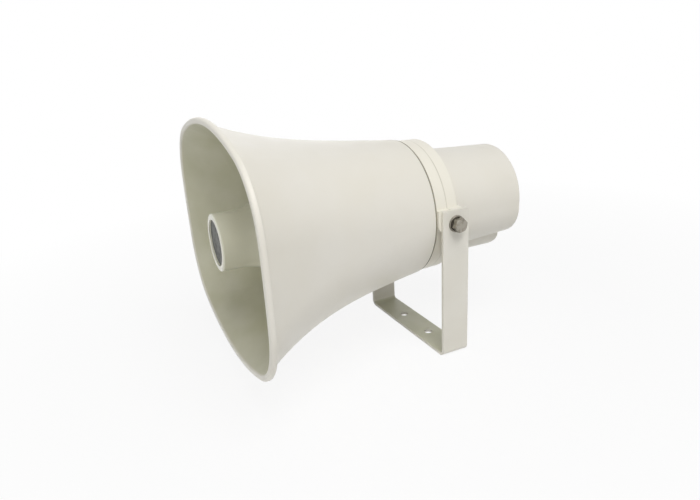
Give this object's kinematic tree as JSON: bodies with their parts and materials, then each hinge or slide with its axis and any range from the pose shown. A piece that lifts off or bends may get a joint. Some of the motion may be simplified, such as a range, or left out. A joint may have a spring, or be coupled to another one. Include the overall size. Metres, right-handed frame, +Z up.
{
  "type": "pa horn speaker",
  "caption": "Re-entrant horn loudspeaker with a flared oval mouth, a round rear cover and a folded U bracket that it tilts in.",
  "frame": {"origin": "centre of the bracket's base, on its underside, midway between the two fixing holes", "axes": "+Z up from the mounting surface, the mouth faces -Y, the bracket's legs stand at -X and +X"},
  "size_m": [0.287, 0.3202, 0.2588],
  "materials": {
    "bell_plastic": "satin moulded ABS",
    "collar_plastic": "satin moulded ABS",
    "cover_plastic": "satin moulded ABS",
    "inner_plastic": "satin moulded ABS",
    "reflector_plastic": "glossy moulded ABS",
    "disc_grey": "fine mottle",
    "seal_rubber": "matt",
    "screw_steel": "zinc plated",
    "driver_plastic": "matt",
    "plate_steel": "zinc plated",
    "ferrite": "ground",
    "core_steel": "varnished plates",
    "winding_tape": "tape over copper",
    "terminal_plastic": "matt",
    "brass": "turned",
    "washer_steel": "stainless",
    "spring_steel": "stainless",
    "bolt_steel": "stainless",
    "bracket_paint": "powder coat",
    "diaphragm_film": "phenolic cloth",
    "coil_copper": "enamelled copper"
  },
  "bodies": {
    "bracket": {"bracket": "bracket_paint"},
    "horn": {"horn_bell": "bell_plastic", "bell_gasket": "seal_rubber", "bell_screws": "screw_steel", "horn_base": "collar_plastic", "throat_tube": "inner_plastic", "reflector": "reflector_plastic", "reflector_disc": "disc_grey", "reflector_screws": "screw_steel", "driver_cap": "driver_plastic", "clamp_ring": "driver_plastic", "top_plate": "plate_steel", "magnet": "ferrite", "back_plate": "plate_steel", "driver_screws": "screw_steel", "transformer_core": "core_steel", "transformer_coil": "winding_tape", "transformer_bracket": "plate_steel", "transformer_screws": "screw_steel", "terminal_block": "terminal_plastic", "terminal_screws": "brass", "rear_cover": "cover_plastic", "cover_gasket": "seal_rubber", "cover_screws": "screw_steel", "cable_grommet": "seal_rubber", "pivot_inserts": "brass", "flat_washers": "washer_steel", "spring_washers": "spring_steel", "pivot_bolts": "bolt_steel"},
    "diaphragm": {"diaphragm": "diaphragm_film", "surround": "diaphragm_film", "voice_coil": "coil_copper"}
  },
  "joints": [
    {"name": "horn_tilt", "type": "hinge", "parent": "bracket", "child": "horn", "pos_m": [0, 0, 0.143], "axis": [1, 0, 0], "range_deg": [-226, 48]},
    {"name": "diaphragm_travel", "type": "slide", "parent": "horn", "child": "diaphragm", "axis": [0, 1, 0], "range_m": [-0.0004, 0.0004], "stiffness_N_per_m": 300, "deforming": ["surround"]}
  ]
}
